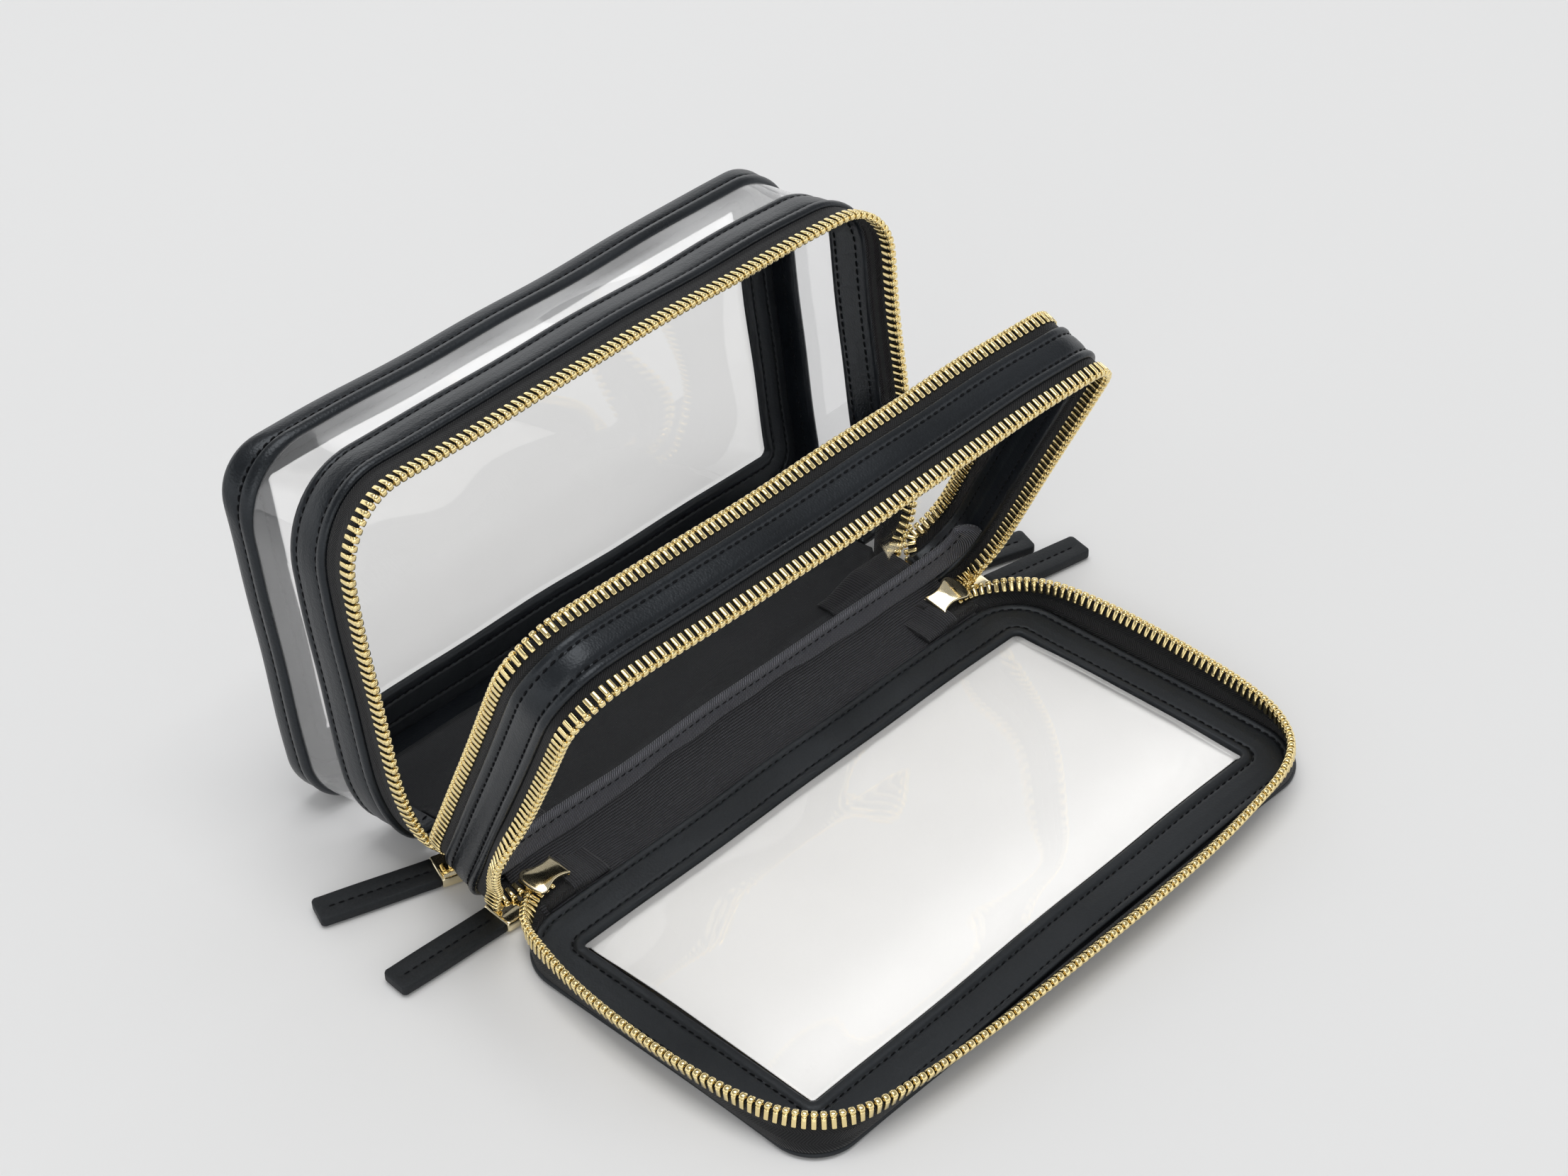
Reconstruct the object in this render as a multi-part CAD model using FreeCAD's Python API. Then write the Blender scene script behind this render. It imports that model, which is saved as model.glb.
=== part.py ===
"""Clear two-compartment makeup bag, standing open.

A leather-edged clear tub leans back on its rear edge, a clear divider is tipped forward in front
of it, and a clear lid lies flat in front of the divider.  Two gold zips join the three rims: the
rear zip joins tub and divider, the front zip joins divider and lid.  Each zip has a slider and a
strap pull at each bottom corner.

Frame: +Z up, X along the bag's width, -Y towards the lid.  The origin is the centre of the base
panel's resting face.  Each panel is drawn upright, bottom edge at z = 0, and then set in its place.
"""
import FreeCAD, Part
import math
import os

Vector = FreeCAD.Vector

# ---------------------------------------------------------------- driving dimensions (mm, degrees)
PANEL_W = 210.0           # outer width of every panel
PANEL_H = 116.0           # outer height of every panel
RIM_R = 20.0              # outer corner radius of every rim
SKIN = 2.2                # thickness of a leather band
WINDOW_W = 180.0          # clear window, back panel and lid
WINDOW_H = 84.4
BACK_WINDOW_Z = 18.2      # height of the back window's lower edge
CLEAR = 0.8               # thickness of the clear sheet

REAR_BAND = 12.0          # depth of each strip of the tub, rear to front
GUSSET = 17.0
FRONT_BAND = 15.0
TUB_TAPE = 7.7
TOOTH_REACH = 3.4         # how far the teeth stand out of the tape
PANEL_T = 3.0             # thickness of the back frame and of the lid frame

DIVIDER_BAND = 12.4       # width of the divider's leather band
DIVIDER_TAPE = 3.6        # zip tape on each side of it
BINDING_H = 7.5           # bound lower edge of the divider's sheet
BINDING_T = 3.2
BINDING_Z = 2.5
SPINE = [(-38.6, 7.2), (-46.0, 4.2), (-57.0, 1.6)]   # y, z of the fabric from foot to lid edge
SPINE_T = 0.9
SPINE_HALF = 72.0
LID_TAPE = 5.6            # zip tape that stands up round the lid

TAPE_OUT = 0.7            # zip tape, distance in from the rim's outer face
TAPE_T = 0.8
TOOTH_PITCH = 2.4
TOOTH_W = 1.1             # along the zip
TOOTH_T = 2.6             # through the tape
PIPE_W = 3.0              # rolled leather edge
PIPE_H = 0.6              # how far it stands proud
BASE_T = 1.0              # base panel and its fabric lining
LINING_T = 0.6
PATCH_X = 65.5            # fabric patches over the tapes' ends
PATCH_W = 10.0
PATCH_T = 0.8

TUB_LEAN = 7.14           # the tub leans back
DIVIDER_TILT = 25.6       # the divider tips forward
DIVIDER_FOOT = (-36.9, 6.2)   # y, z of the middle of its lower edge
LID_EDGE_Y = -59.5        # the lid's hinge edge
TUB_REAR_Y = 30.0         # the tub's rear lower edge
ZIP_GAP = 0.4             # between facing teeth when a rim is closed

RIM_END = 95.0            # half-distance between the ends of a rim along its lower edge
DIVIDER_BAND_END = 93.0
DIVIDER_FRONT_END = 97.0
LID_RIM_END = 101.0

SLIDER_L = 11.0           # along X
SLIDER_W = 9.5
SLIDER_NARROW = 9.0
SLIDER_WAIST = 7.4
PLATE_T = 1.2
CHANNEL_H = 2.4
BRIDGE_L = 6.0
BRIDGE_W = 2.4
BRIDGE_T = 0.9
BRIDGE_HOLE = 1.7
BRIDGE_LEG = 1.2
SLIDER_Z = 0.2            # underside of the bridge
SLIDER_INNER_X = 81.5     # slider centre at the inner end of its travel
SLIDER_TRAVEL = 4.0
REAR_RIGHT_X = 78.5       # the rear right slider is run a little further in
REAR_SLIDER_Y = -30.0
FRONT_SLIDER_Y = -51.0

WIRE = 1.0                # square wire of the pull ring
RING_L = 10.0
RING_W = 8.6
PULL_Z = 0.1              # underside of the clamp
CLAMP_L = 8.0
CLAMP_W = 10.6
CLAMP_T = 3.5
STRAP_L = 35.0
STRAP_W = 9.6
STRAP_T = 3.0
TONGUE_L = 5.0            # strap end held in the clamp
TONGUE_W = 9.0
TONGUE_T = 2.2
TIP_CUT = 1.2             # clipped corners of the strap's tip

# name, +1 right or -1 left, slider centre x, slider centre y, yaw of the pull towards +Y
ZIP_ENDS = [
    ("rear_left", -1, SLIDER_INNER_X, REAR_SLIDER_Y, 20.0),
    ("rear_right", 1, REAR_RIGHT_X, REAR_SLIDER_Y, -20.0),
    ("front_left", -1, SLIDER_INNER_X, FRONT_SLIDER_Y, 3.0),
    ("front_right", 1, SLIDER_INNER_X + SLIDER_TRAVEL, FRONT_SLIDER_Y, -12.0),
]

X_AXIS = Vector(1, 0, 0)
Z_AXIS = Vector(0, 0, 1)
BIG = 400.0


# ---------------------------------------------------------------- basic shapes
def box(x0, x1, y0, y1, z0, z1):
    """Box between two corners."""
    return Part.makeBox(x1 - x0, y1 - y0, z1 - z0, Vector(x0, y0, z0))


def prism(points, z0, z1):
    """Upright prism on a polygon of (x, y) points."""
    ring = [Vector(x, y, z0) for x, y in points]
    face = Part.Face(Part.makePolygon(ring + ring[:1]))
    return face.extrude(Vector(0, 0, z1 - z0))


def slab(width, z0, z1, radius, y0, y1):
    """Upright plate with rounded corners, centred on x = 0, from y0 to y1."""
    half = width / 2
    k = radius * (1 - math.sqrt(0.5))
    edges = []
    corners = [(-half, z0, 1, 1), (-half, z1, 1, -1), (half, z1, -1, -1), (half, z0, -1, 1)]
    ends = []
    for x, z, sx, sz in corners:
        along_x = Vector(x + sx * radius, y0, z)
        along_z = Vector(x, y0, z + sz * radius)
        middle = Vector(x + sx * k, y0, z + sz * k)
        start, stop = (along_x, along_z) if sx * sz > 0 else (along_z, along_x)
        ends.append((start, stop))
        edges.append(Part.Arc(start, middle, stop).toShape())
    for i in range(4):
        edges.append(Part.LineSegment(ends[i][1], ends[(i + 1) % 4][0]).toShape())
    face = Part.Face(Part.Wire(Part.__sortEdges__(edges)))
    return face.extrude(Vector(0, y1 - y0, 0))


def rim(inset, thickness, y0, y1, end=None):
    """Strip that follows the panel's outline, inset from it; open along the bottom inside end."""
    outer = slab(PANEL_W - 2 * inset, inset, PANEL_H - inset, RIM_R - inset, y0, y1)
    deep = inset + thickness
    inner = slab(PANEL_W - 2 * deep, deep, PANEL_H - deep, RIM_R - deep, y0 - 1, y1 + 1)
    strip = outer.cut(inner)
    if end is not None:
        strip = strip.cut(box(-end, end, y0 - 1, y1 + 1, -BIG, RIM_R))
    return strip


def rim_place(s, inset):
    """Point and direction at distance s along the outline, clockwise from the lower left corner."""
    half = PANEL_W / 2 - inset
    low = inset
    high = PANEL_H - inset
    r = RIM_R - inset
    quarter = math.pi * r / 2
    side = high - low - 2 * r
    top = 2 * (half - r)
    pieces = [
        (quarter, (-half + r, low + r), 270.0),
        (side, (-half, low + r), 90.0),
        (quarter, (-half + r, high - r), 180.0),
        (top, (-half + r, high), 0.0),
        (quarter, (half - r, high - r), 90.0),
        (side, (half, high - r), 270.0),
        (quarter, (half - r, low + r), 0.0),
    ]
    for i, (length, (px, pz), angle) in enumerate(pieces):
        if s <= length or i == len(pieces) - 1:
            a = math.radians(angle)
            if i % 2:
                return px + s * math.cos(a), pz + s * math.sin(a), angle
            turn = s / r
            heading = angle - 90 - math.degrees(turn)
            return px + r * math.cos(a - turn), pz + r * math.sin(a - turn), heading
        s -= length


def rim_length(inset):
    """Length of the outline from lower left corner to lower right corner."""
    r = RIM_R - inset
    return 2 * math.pi * r + 2 * (PANEL_H - 2 * inset - 2 * r) + PANEL_W - 2 * inset - 2 * r


def teeth(y0, y1, end):
    """Row of zip teeth along the outline, as a group of separate blocks."""
    inset = TAPE_OUT + TAPE_T / 2
    r = RIM_R - inset
    skip = r * math.asin((end - (PANEL_W / 2 - RIM_R)) / r)
    run = rim_length(inset) - 2 * skip
    count = int(run / TOOTH_PITCH)
    start = skip + (run - (count - 1) * TOOTH_PITCH) / 2
    row = []
    for i in range(count):
        x, z, angle = rim_place(start + i * TOOTH_PITCH, inset)
        tooth = box(-TOOTH_W / 2, TOOTH_W / 2, y0, y1, -TOOTH_T / 2, TOOTH_T / 2)
        tooth.rotate(Vector(0, 0, 0), Vector(0, -1, 0), angle)
        tooth.translate(Vector(x, 0, z))
        row.append(tooth)
    return Part.makeCompound(row)


# ---------------------------------------------------------------- places of the panels
def in_tub(shape):
    """Set a shape drawn upright, rear face at y = 0, in the leaning tub."""
    shape.translate(Vector(0, TUB_REAR_Y, 0))
    shape.rotate(Vector(0, TUB_REAR_Y, 0), X_AXIS, -TUB_LEAN)
    return shape


def in_divider(shape):
    """Set a shape drawn upright, centred on y = 0, in the tipped divider."""
    shape.rotate(Vector(0, 0, 0), X_AXIS, DIVIDER_TILT)
    shape.translate(Vector(0, *DIVIDER_FOOT))
    return shape


def in_lid(shape):
    """Lay a shape drawn upright, outer face at y = 0, down as part of the open lid."""
    shape.rotate(Vector(0, 0, 0), X_AXIS, 90)
    shape.translate(Vector(0, LID_EDGE_Y, 0))
    return shape


def turned(y, z, angle):
    """Turn a (y, z) pair about X."""
    a = math.radians(angle)
    return y * math.cos(a) - z * math.sin(a), y * math.sin(a) + z * math.cos(a)


def fold_centre(closed, opened, angle):
    """Axis of the turn by angle about X that takes the closed point to the opened one."""
    dy = opened[0] - closed[0]
    dz = opened[1] - closed[1]
    k = 1 / (2 * math.tan(math.radians(angle) / 2))
    return (closed[0] + opened[0]) / 2 - k * dz, (closed[1] + opened[1]) / 2 + k * dy


TUB_DEPTH = REAR_BAND + GUSSET + FRONT_BAND + TUB_TAPE + TOOTH_REACH
DIVIDER_HALF = DIVIDER_BAND / 2 + DIVIDER_TAPE + TOOTH_REACH
LID_DEPTH = PANEL_T + LID_TAPE + TOOTH_REACH


def fold_axes():
    """Axes and travels of the two folds, from where each panel lies open and closed."""
    y, z = turned(-(TUB_DEPTH + ZIP_GAP + DIVIDER_HALF), 0, -TUB_LEAN)
    divider_turn = DIVIDER_TILT + TUB_LEAN
    divider_axis = fold_centre((TUB_REAR_Y + y, z), DIVIDER_FOOT, divider_turn)
    y, z = turned(-(DIVIDER_HALF + ZIP_GAP + LID_DEPTH), 0, DIVIDER_TILT)
    lid_turn = 90 - DIVIDER_TILT
    lid_closed = (DIVIDER_FOOT[0] + y, DIVIDER_FOOT[1] + z)
    lid_axis = fold_centre(lid_closed, (LID_EDGE_Y, 0), lid_turn)
    return divider_axis, divider_turn, lid_axis, lid_turn


# ---------------------------------------------------------------- base and tub
def base_outline(inset):
    """Base panel seen from above: full width under the tub, narrower between the sliders."""
    wide = 87.0 - inset
    narrow = 72.0 - inset
    rear = 17.0 - inset
    step = -20.0 + inset
    front = -35.5 + inset
    return [(-wide, rear), (-wide, step), (-narrow, step), (-narrow, front),
            (narrow, front), (narrow, step), (wide, step), (wide, rear)]


def sheet_strip(surface, thickness, x0, x1):
    """Strip whose upper face follows a line of (y, z) points, from x0 to x1."""
    outline = surface + [(y, z - thickness) for y, z in reversed(surface)]
    ring = [Vector(x0, y, z) for y, z in outline]
    face = Part.Face(Part.makePolygon(ring + ring[:1]))
    return face.extrude(Vector(x1 - x0, 0, 0))


def end_patches(surface):
    """Pair of fabric patches that cover the zip tapes' ends beside the sliders."""
    inner = PATCH_X - PATCH_W / 2
    outer = PATCH_X + PATCH_W / 2
    raised = [(y, z + PATCH_T) for y, z in surface]
    pair = [sheet_strip(raised, PATCH_T, -outer, -inner), sheet_strip(raised, PATCH_T, inner, outer)]
    return Part.makeCompound(pair)


def base_parts():
    top = BASE_T + LINING_T
    panel = prism(base_outline(0), 0, BASE_T)
    lining = prism(base_outline(1.5), BASE_T, top)
    patches = end_patches([(-24.5, top), (-33.5, top)])
    return {"base_panel": panel, "base_lining": lining, "rear_end_patches": patches}


def window_hole(z0, y0, y1, grow=0.0):
    """Plate the size of a window, grown all round."""
    w = WINDOW_W + 2 * grow
    return slab(w, z0 - grow, z0 + WINDOW_H + grow, 1.5 + grow, y0, y1)


def tub_parts():
    band = -REAR_BAND
    gusset = band - GUSSET
    front = gusset - FRONT_BAND
    tape = front - TUB_TAPE
    inner_r = RIM_R - SKIN
    frame = slab(PANEL_W - 2 * SKIN, SKIN, PANEL_H - SKIN, inner_r, -PANEL_T, 0)
    frame = frame.cut(window_hole(BACK_WINDOW_Z, -PANEL_T - 1, 1))
    middle = -PANEL_T / 2
    edge = window_hole(BACK_WINDOW_Z, -PANEL_T - PIPE_H, -PANEL_T, 2.4)
    edge = edge.cut(window_hole(BACK_WINDOW_Z, -PANEL_T - 1, 0, 0.4))
    shapes = {
        "back_frame": frame,
        "back_window": window_hole(BACK_WINDOW_Z, middle - CLEAR / 2, middle + CLEAR / 2),
        "back_window_piping": edge,
        "rear_band": rim(0, SKIN, band, 0),
        "rear_piping": rim(-PIPE_H, PIPE_H, band, band + PIPE_W, RIM_END),
        "gusset": rim(TAPE_OUT, CLEAR, gusset, band, RIM_END),
        "front_band": rim(0, SKIN, front, gusset, RIM_END),
        "front_piping": rim(-PIPE_H, PIPE_H, front, front + PIPE_W, RIM_END),
        "tub_tape": rim(TAPE_OUT, TAPE_T, tape, front, RIM_END),
        "tub_teeth": teeth(tape - TOOTH_REACH, tape, RIM_END),
    }
    return {name: in_tub(shape) for name, shape in shapes.items()}


# ---------------------------------------------------------------- divider
def divider_parts():
    half = DIVIDER_BAND / 2
    tape = half + DIVIDER_TAPE
    tips = tape + TOOTH_REACH
    sheet_z = BINDING_Z + BINDING_H
    sheet = slab(PANEL_W - 2 * SKIN, SKIN, PANEL_H - SKIN, RIM_R - SKIN, -CLEAR / 2, CLEAR / 2)
    sheet = sheet.cut(box(-BIG, BIG, -BIG, BIG, -BIG, sheet_z))
    ridges = [rim(-PIPE_H, PIPE_H, half - PIPE_W, half, DIVIDER_BAND_END),
              rim(-PIPE_H, PIPE_H, -half, PIPE_W - half, DIVIDER_BAND_END)]
    shapes = {
        "divider_band": rim(0, SKIN, -half, half, DIVIDER_BAND_END),
        "divider_piping": Part.makeCompound(ridges),
        "divider_pane": sheet,
        "divider_binding": box(-90, 90, -BINDING_T / 2, BINDING_T / 2, BINDING_Z, sheet_z),
        "divider_rear_tape": rim(TAPE_OUT, TAPE_T, half, tape, RIM_END),
        "divider_rear_teeth": teeth(tape, tips, RIM_END),
        "divider_front_tape": rim(TAPE_OUT, TAPE_T, -tape, -half, DIVIDER_FRONT_END),
        "divider_front_teeth": teeth(-tips, -tape, DIVIDER_FRONT_END),
    }
    placed = {name: in_divider(shape) for name, shape in shapes.items()}
    placed["spine_strip"] = sheet_strip(SPINE, SPINE_T, -SPINE_HALF, SPINE_HALF)
    placed["front_end_patches"] = end_patches(SPINE[1:])
    return placed


# ---------------------------------------------------------------- lid
def lid_parts():
    rim_top = PANEL_T + LID_TAPE
    z0 = (PANEL_H - WINDOW_H) / 2
    frame = slab(PANEL_W, 0, PANEL_H, RIM_R, 0, PANEL_T)
    frame = frame.cut(window_hole(z0, -1, PANEL_T + 1))
    middle = PANEL_T / 2
    edge = window_hole(z0, PANEL_T, PANEL_T + PIPE_H, 2.4)
    edge = edge.cut(window_hole(z0, PANEL_T - 1, PANEL_T + 2, 0.4))
    shapes = {
        "lid_frame": frame,
        "lid_window": window_hole(z0, middle - CLEAR / 2, middle + CLEAR / 2),
        "lid_window_piping": edge,
        "lid_tape": rim(TAPE_OUT, TAPE_T, PANEL_T, rim_top, LID_RIM_END),
        "lid_teeth": teeth(rim_top, rim_top + TOOTH_REACH, LID_RIM_END),
    }
    return {name: in_lid(shape) for name, shape in shapes.items()}


# ---------------------------------------------------------------- sliders and pulls
def plate(z0, z1):
    """Slider plate with pinched flanks, rounded end towards +X."""
    x = SLIDER_L / 2
    wide = SLIDER_W / 2
    narrow = SLIDER_NARROW / 2
    waist = SLIDER_WAIST / 2
    a = [Vector(x, -wide, z0), Vector(x, wide, z0), Vector(-x, narrow, z0), Vector(-x, -narrow, z0)]
    edges = [
        Part.Arc(a[0], Vector(x + 0.8, 0, z0), a[1]).toShape(),
        Part.Arc(a[1], Vector(0, waist, z0), a[2]).toShape(),
        Part.LineSegment(a[2], a[3]).toShape(),
        Part.Arc(a[3], Vector(0, -waist, z0), a[0]).toShape(),
    ]
    return Part.Face(Part.Wire(edges)).extrude(Vector(0, 0, z1 - z0))


def slider():
    """Slider with its bridge underneath, centred on x = y = 0, rounded end towards +X."""
    hole_z = SLIDER_Z + BRIDGE_T
    plate_z = hole_z + BRIDGE_HOLE
    channel_z = plate_z + PLATE_T
    top_z = channel_z + CHANNEL_H
    body = plate(plate_z, channel_z)
    body = body.fuse(plate(top_z, top_z + PLATE_T))
    body = body.fuse(box(2.0, 4.4, -0.9, 0.9, channel_z, top_z))
    bridge = box(-BRIDGE_L / 2, BRIDGE_L / 2, -BRIDGE_W / 2, BRIDGE_W / 2, SLIDER_Z, plate_z)
    inside = BRIDGE_L / 2 - BRIDGE_LEG
    bridge = bridge.cut(box(-inside, inside, -BRIDGE_W, BRIDGE_W, hole_z, plate_z))
    return body.fuse(bridge).removeSplitter()


def pull_ring():
    """Wire ring whose near bar passes through the bridge, at the origin."""
    z = SLIDER_Z + BRIDGE_T + (BRIDGE_HOLE - WIRE) / 2
    half = RING_W / 2
    near = -WIRE / 2
    outer = box(near, near + RING_L, -half, half, z, z + WIRE)
    return outer.cut(box(near + WIRE, near + RING_L - WIRE, WIRE - half, half - WIRE, z, z + WIRE))


def pull_clamp():
    """Folded metal clamp that holds the strap's end to the ring."""
    x = RING_L - WIRE / 2
    z = PULL_Z
    shell = box(x, x + CLAMP_L, -CLAMP_W / 2, CLAMP_W / 2, z, z + CLAMP_T)
    slot_z = z + (CLAMP_T - TONGUE_T) / 2
    end = x + CLAMP_L
    return shell.cut(box(end - TONGUE_L, end, -TONGUE_W / 2, TONGUE_W / 2, slot_z, slot_z + TONGUE_T))


def pull_strap():
    """Leather strap with clipped tip corners and a thinned end in the clamp."""
    x = RING_L - WIRE / 2 + CLAMP_L
    tip = x + STRAP_L
    half = STRAP_W / 2
    cut = TIP_CUT
    z = PULL_Z + (CLAMP_T - STRAP_T) / 2
    outline = [(x, -half), (tip - cut, -half), (tip, cut - half),
               (tip, half - cut), (tip - cut, half), (x, half)]
    strap = prism(outline, z, z + STRAP_T)
    tongue_z = PULL_Z + (CLAMP_T - TONGUE_T) / 2
    tongue = box(x - TONGUE_L, x, -TONGUE_W / 2, TONGUE_W / 2, tongue_z, tongue_z + TONGUE_T)
    return strap.fuse(tongue).removeSplitter()


def zip_end_parts(name, side, x, y, yaw):
    """Slider, ring, clamp and strap at one bottom corner of one zip."""
    makers = {"slider": slider, "pull_ring": pull_ring, "pull_clamp": pull_clamp, "pull_strap": pull_strap}
    placed = {}
    for piece, make in makers.items():
        shape = make()
        turn = 0 if piece == "slider" else yaw
        shape.rotate(Vector(0, 0, 0), Z_AXIS, turn)
        if side < 0:
            shape = shape.mirror(Vector(0, 0, 0), X_AXIS)
        shape.translate(Vector(side * x, y, 0))
        placed[piece + "_" + name] = shape
    return placed


def main():
    os.makedirs("parts", exist_ok=True)
    nodes = {}
    nodes.update(base_parts())
    nodes.update(tub_parts())
    nodes.update(divider_parts())
    nodes.update(lid_parts())
    for zip_end in ZIP_ENDS:
        nodes.update(zip_end_parts(*zip_end))
    for name, shape in nodes.items():
        shape.exportStep("parts/" + name + ".step")
    divider_axis, divider_turn, lid_axis, lid_turn = fold_axes()
    print("divider fold axis y, z and travel:", divider_axis, divider_turn)
    print("lid fold axis y, z and travel:", lid_axis, lid_turn)
    print(len(nodes), "nodes")


main()
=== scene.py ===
"""Clear two-compartment makeup bag, standing open: the visual model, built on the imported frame.

Shapes are worked out in millimetres.  Each panel of the bag has its own frame: x along the width,
y through the panel and z up it, and Panel.place sets such points in the shared frame.
"""
import math

import bmesh
import bpy
import numpy as np
from mathutils import Matrix, Vector


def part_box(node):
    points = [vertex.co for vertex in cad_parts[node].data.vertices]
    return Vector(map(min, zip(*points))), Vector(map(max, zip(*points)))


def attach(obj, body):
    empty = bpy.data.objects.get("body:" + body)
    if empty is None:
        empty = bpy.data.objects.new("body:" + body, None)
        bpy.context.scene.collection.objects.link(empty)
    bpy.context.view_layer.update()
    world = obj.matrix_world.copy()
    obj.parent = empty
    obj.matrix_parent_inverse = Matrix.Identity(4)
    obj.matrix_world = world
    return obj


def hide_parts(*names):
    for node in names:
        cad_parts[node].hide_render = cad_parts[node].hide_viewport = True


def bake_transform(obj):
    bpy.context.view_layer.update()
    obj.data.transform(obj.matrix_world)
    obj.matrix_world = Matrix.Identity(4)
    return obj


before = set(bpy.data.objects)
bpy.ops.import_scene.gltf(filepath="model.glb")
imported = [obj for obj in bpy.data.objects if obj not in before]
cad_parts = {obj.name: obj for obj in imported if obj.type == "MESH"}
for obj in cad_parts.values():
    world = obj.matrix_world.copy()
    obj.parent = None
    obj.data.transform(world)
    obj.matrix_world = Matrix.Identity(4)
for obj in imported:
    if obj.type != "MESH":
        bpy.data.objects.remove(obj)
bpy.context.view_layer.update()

MM = 0.001

# ---- sizes in mm, where no box gives them
SKIN = 2.2                    # leather band
LID_T = 3.0
TAPE_IN = 1.1                 # tape's middle, in from the rim's outer face
TAPE_HALF = 0.38              # half the tape's thickness
NO_TEETH = 9.5                # length at each end of a zip that has no teeth
SLIDER_HALF = 6.3             # slider's middle, in from its outer end
TUB_REAR = 30.0               # y of the tub's rear edge, and the slope of its base in degrees
TUB_SLOPE = 7.14
TUB_ARCH = 1.8                # rise of the tub's front rim in the middle of its top
TUB_TILT = 1.5                # rise of the tub's top towards the right
RIM_END = 88.0                # half-distance between a rim's two ends along the lower edge
TOOTH_PITCH = 2.4
STITCH_PITCH = 2.75


# ---- frames of the panels
def step(value):
    t = np.clip(value, 0, 1)
    return t * t * (3 - 2 * t)


def node_points(name):
    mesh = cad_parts[name].data
    flat = np.empty(len(mesh.vertices) * 3)
    mesh.vertices.foreach_get("co", flat)
    return flat.reshape(-1, 3) / MM


class Panel:
    """Frame of a panel, found from a flat node whose middle lies at (0, y, z) in that frame."""

    def __init__(self, node, y, z, shape=lambda points: points):
        self.shape = shape
        points = node_points(node)
        middle = (points.min(axis=0) + points.max(axis=0)) / 2
        normal = np.linalg.svd(points - points.mean(axis=0), full_matrices=False)[2][2]
        if normal[1] + normal[2] < 0:
            normal = -normal
        self.x = np.array([1.0, 0.0, 0.0])
        self.y = normal
        self.z = np.cross(self.x, normal)
        self.origin = middle - y * self.y - z * self.z
        self.origin[0] = 0.0

    def place(self, points):
        points = self.shape(np.array(points, float))
        return self.origin + points @ np.array([self.x, self.y, self.z])

    def turn(self, directions):
        return np.asarray(directions, float) @ np.array([self.x, self.y, self.z])


def node_box(name):
    low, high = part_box(name)
    return np.array(low) / MM, np.array(high) / MM


lid_low, lid_high = node_box("lid_frame")
HALF = (lid_high[0] - lid_low[0]) / 2
HEIGHT = lid_high[1] - lid_low[1]
window_low, window_high = node_box("lid_window")
WINDOW_HALF = (window_high[0] - window_low[0]) / 2
WINDOW_H = window_high[1] - window_low[1]
BACK_WINDOW_Z = 18.2
LID_WINDOW_Z = (HEIGHT - WINDOW_H) / 2


def tub_shape(points):
    """The tub's top rises a little towards the right, and its front rim in the middle."""
    x, y, z = points[..., 0], points[..., 1], points[..., 2]
    forward, high = np.clip((-18 - y) / 22, 0, 1), np.clip((z - 70) / 40, 0, 1)
    arch = TUB_ARCH * forward * high * np.cos(x / HALF * math.pi / 2)
    tilt = TUB_TILT * step((x + 50) / 130) * np.clip((z - 50) / 60, 0, 1)
    points[..., 2] += arch + tilt
    return points


tub = Panel("back_window", -1.5, BACK_WINDOW_Z + WINDOW_H / 2, tub_shape)
divider = Panel("divider_pane", 0.0, (HEIGHT - SKIN + 10.0) / 2)
lid = Panel("lid_window", LID_T / 2, HEIGHT / 2)


# ---- curves and grids
def soft(points):
    """Slight unevenness of hand-sewn soft goods, the same for pieces that touch."""
    points = np.asarray(points, float)
    x, y, z = points[..., 0], points[..., 1], points[..., 2]
    moved = points.copy()
    moved[..., 0] += 0.30 * np.sin(y / 23 + z / 17 + 1.3) + 0.18 * np.sin(z / 7.5 + y / 31)
    moved[..., 1] += 0.28 * np.sin(x / 29 + z / 21 + 0.4) + 0.16 * np.sin(x / 11.0 + 2.0)
    lift = 0.26 * np.sin(x / 19 + y / 27 + 2.2) + 0.18 * np.sin(x / 8.6 + y / 13)
    moved[..., 2] += lift * np.clip(z / 12.0, 0.0, 1.0)
    return moved


def outline(half, low, high, corners, end=None):
    """Rounded outline and its outward normals, clockwise from the middle of the lower edge.

    corners are four (rx, rz): lower left, upper left, upper right, lower right.  With end it starts at
    x = -end and stops at x = end.  Outlines have the same number of points, so they can be lofted.
    """
    bl, tl, tr, br = corners
    start = 0.0 if end is None else end
    points = []

    def run(a, b, n):
        for k in np.linspace(0, 1, n, endpoint=False):
            points.append((a[0] + (b[0] - a[0]) * k, a[1] + (b[1] - a[1]) * k))

    def arc(cx, cz, r, first, last):
        for a in np.radians(np.linspace(first, last, 15))[:-1]:
            points.append((cx + r[0] * math.cos(a), cz + r[1] * math.sin(a)))

    run((-start, low), (-half + bl[0], low), 8)
    arc(-half + bl[0], low + bl[1], bl, 270, 180)
    run((-half, low + bl[1]), (-half, high - tl[1]), 16)
    arc(-half + tl[0], high - tl[1], tl, 180, 90)
    run((-half + tl[0], high), (half - tr[0], high), 40)
    arc(half - tr[0], high - tr[1], tr, 90, 0)
    run((half, high - tr[1]), (half, low + br[1]), 16)
    arc(half - br[0], low + br[1], br, 0, -90)
    run((half - br[0], low), (start, low), 8)
    if end is not None:
        points.append((start, low))
    points = np.array(points)
    if end is None:
        ahead = np.roll(points, -1, axis=0) - np.roll(points, 1, axis=0)
    else:
        ahead = np.gradient(points, axis=0)
    ahead /= np.linalg.norm(ahead, axis=1)[:, None]
    return points, np.column_stack([-ahead[:, 1], ahead[:, 0]])


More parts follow.
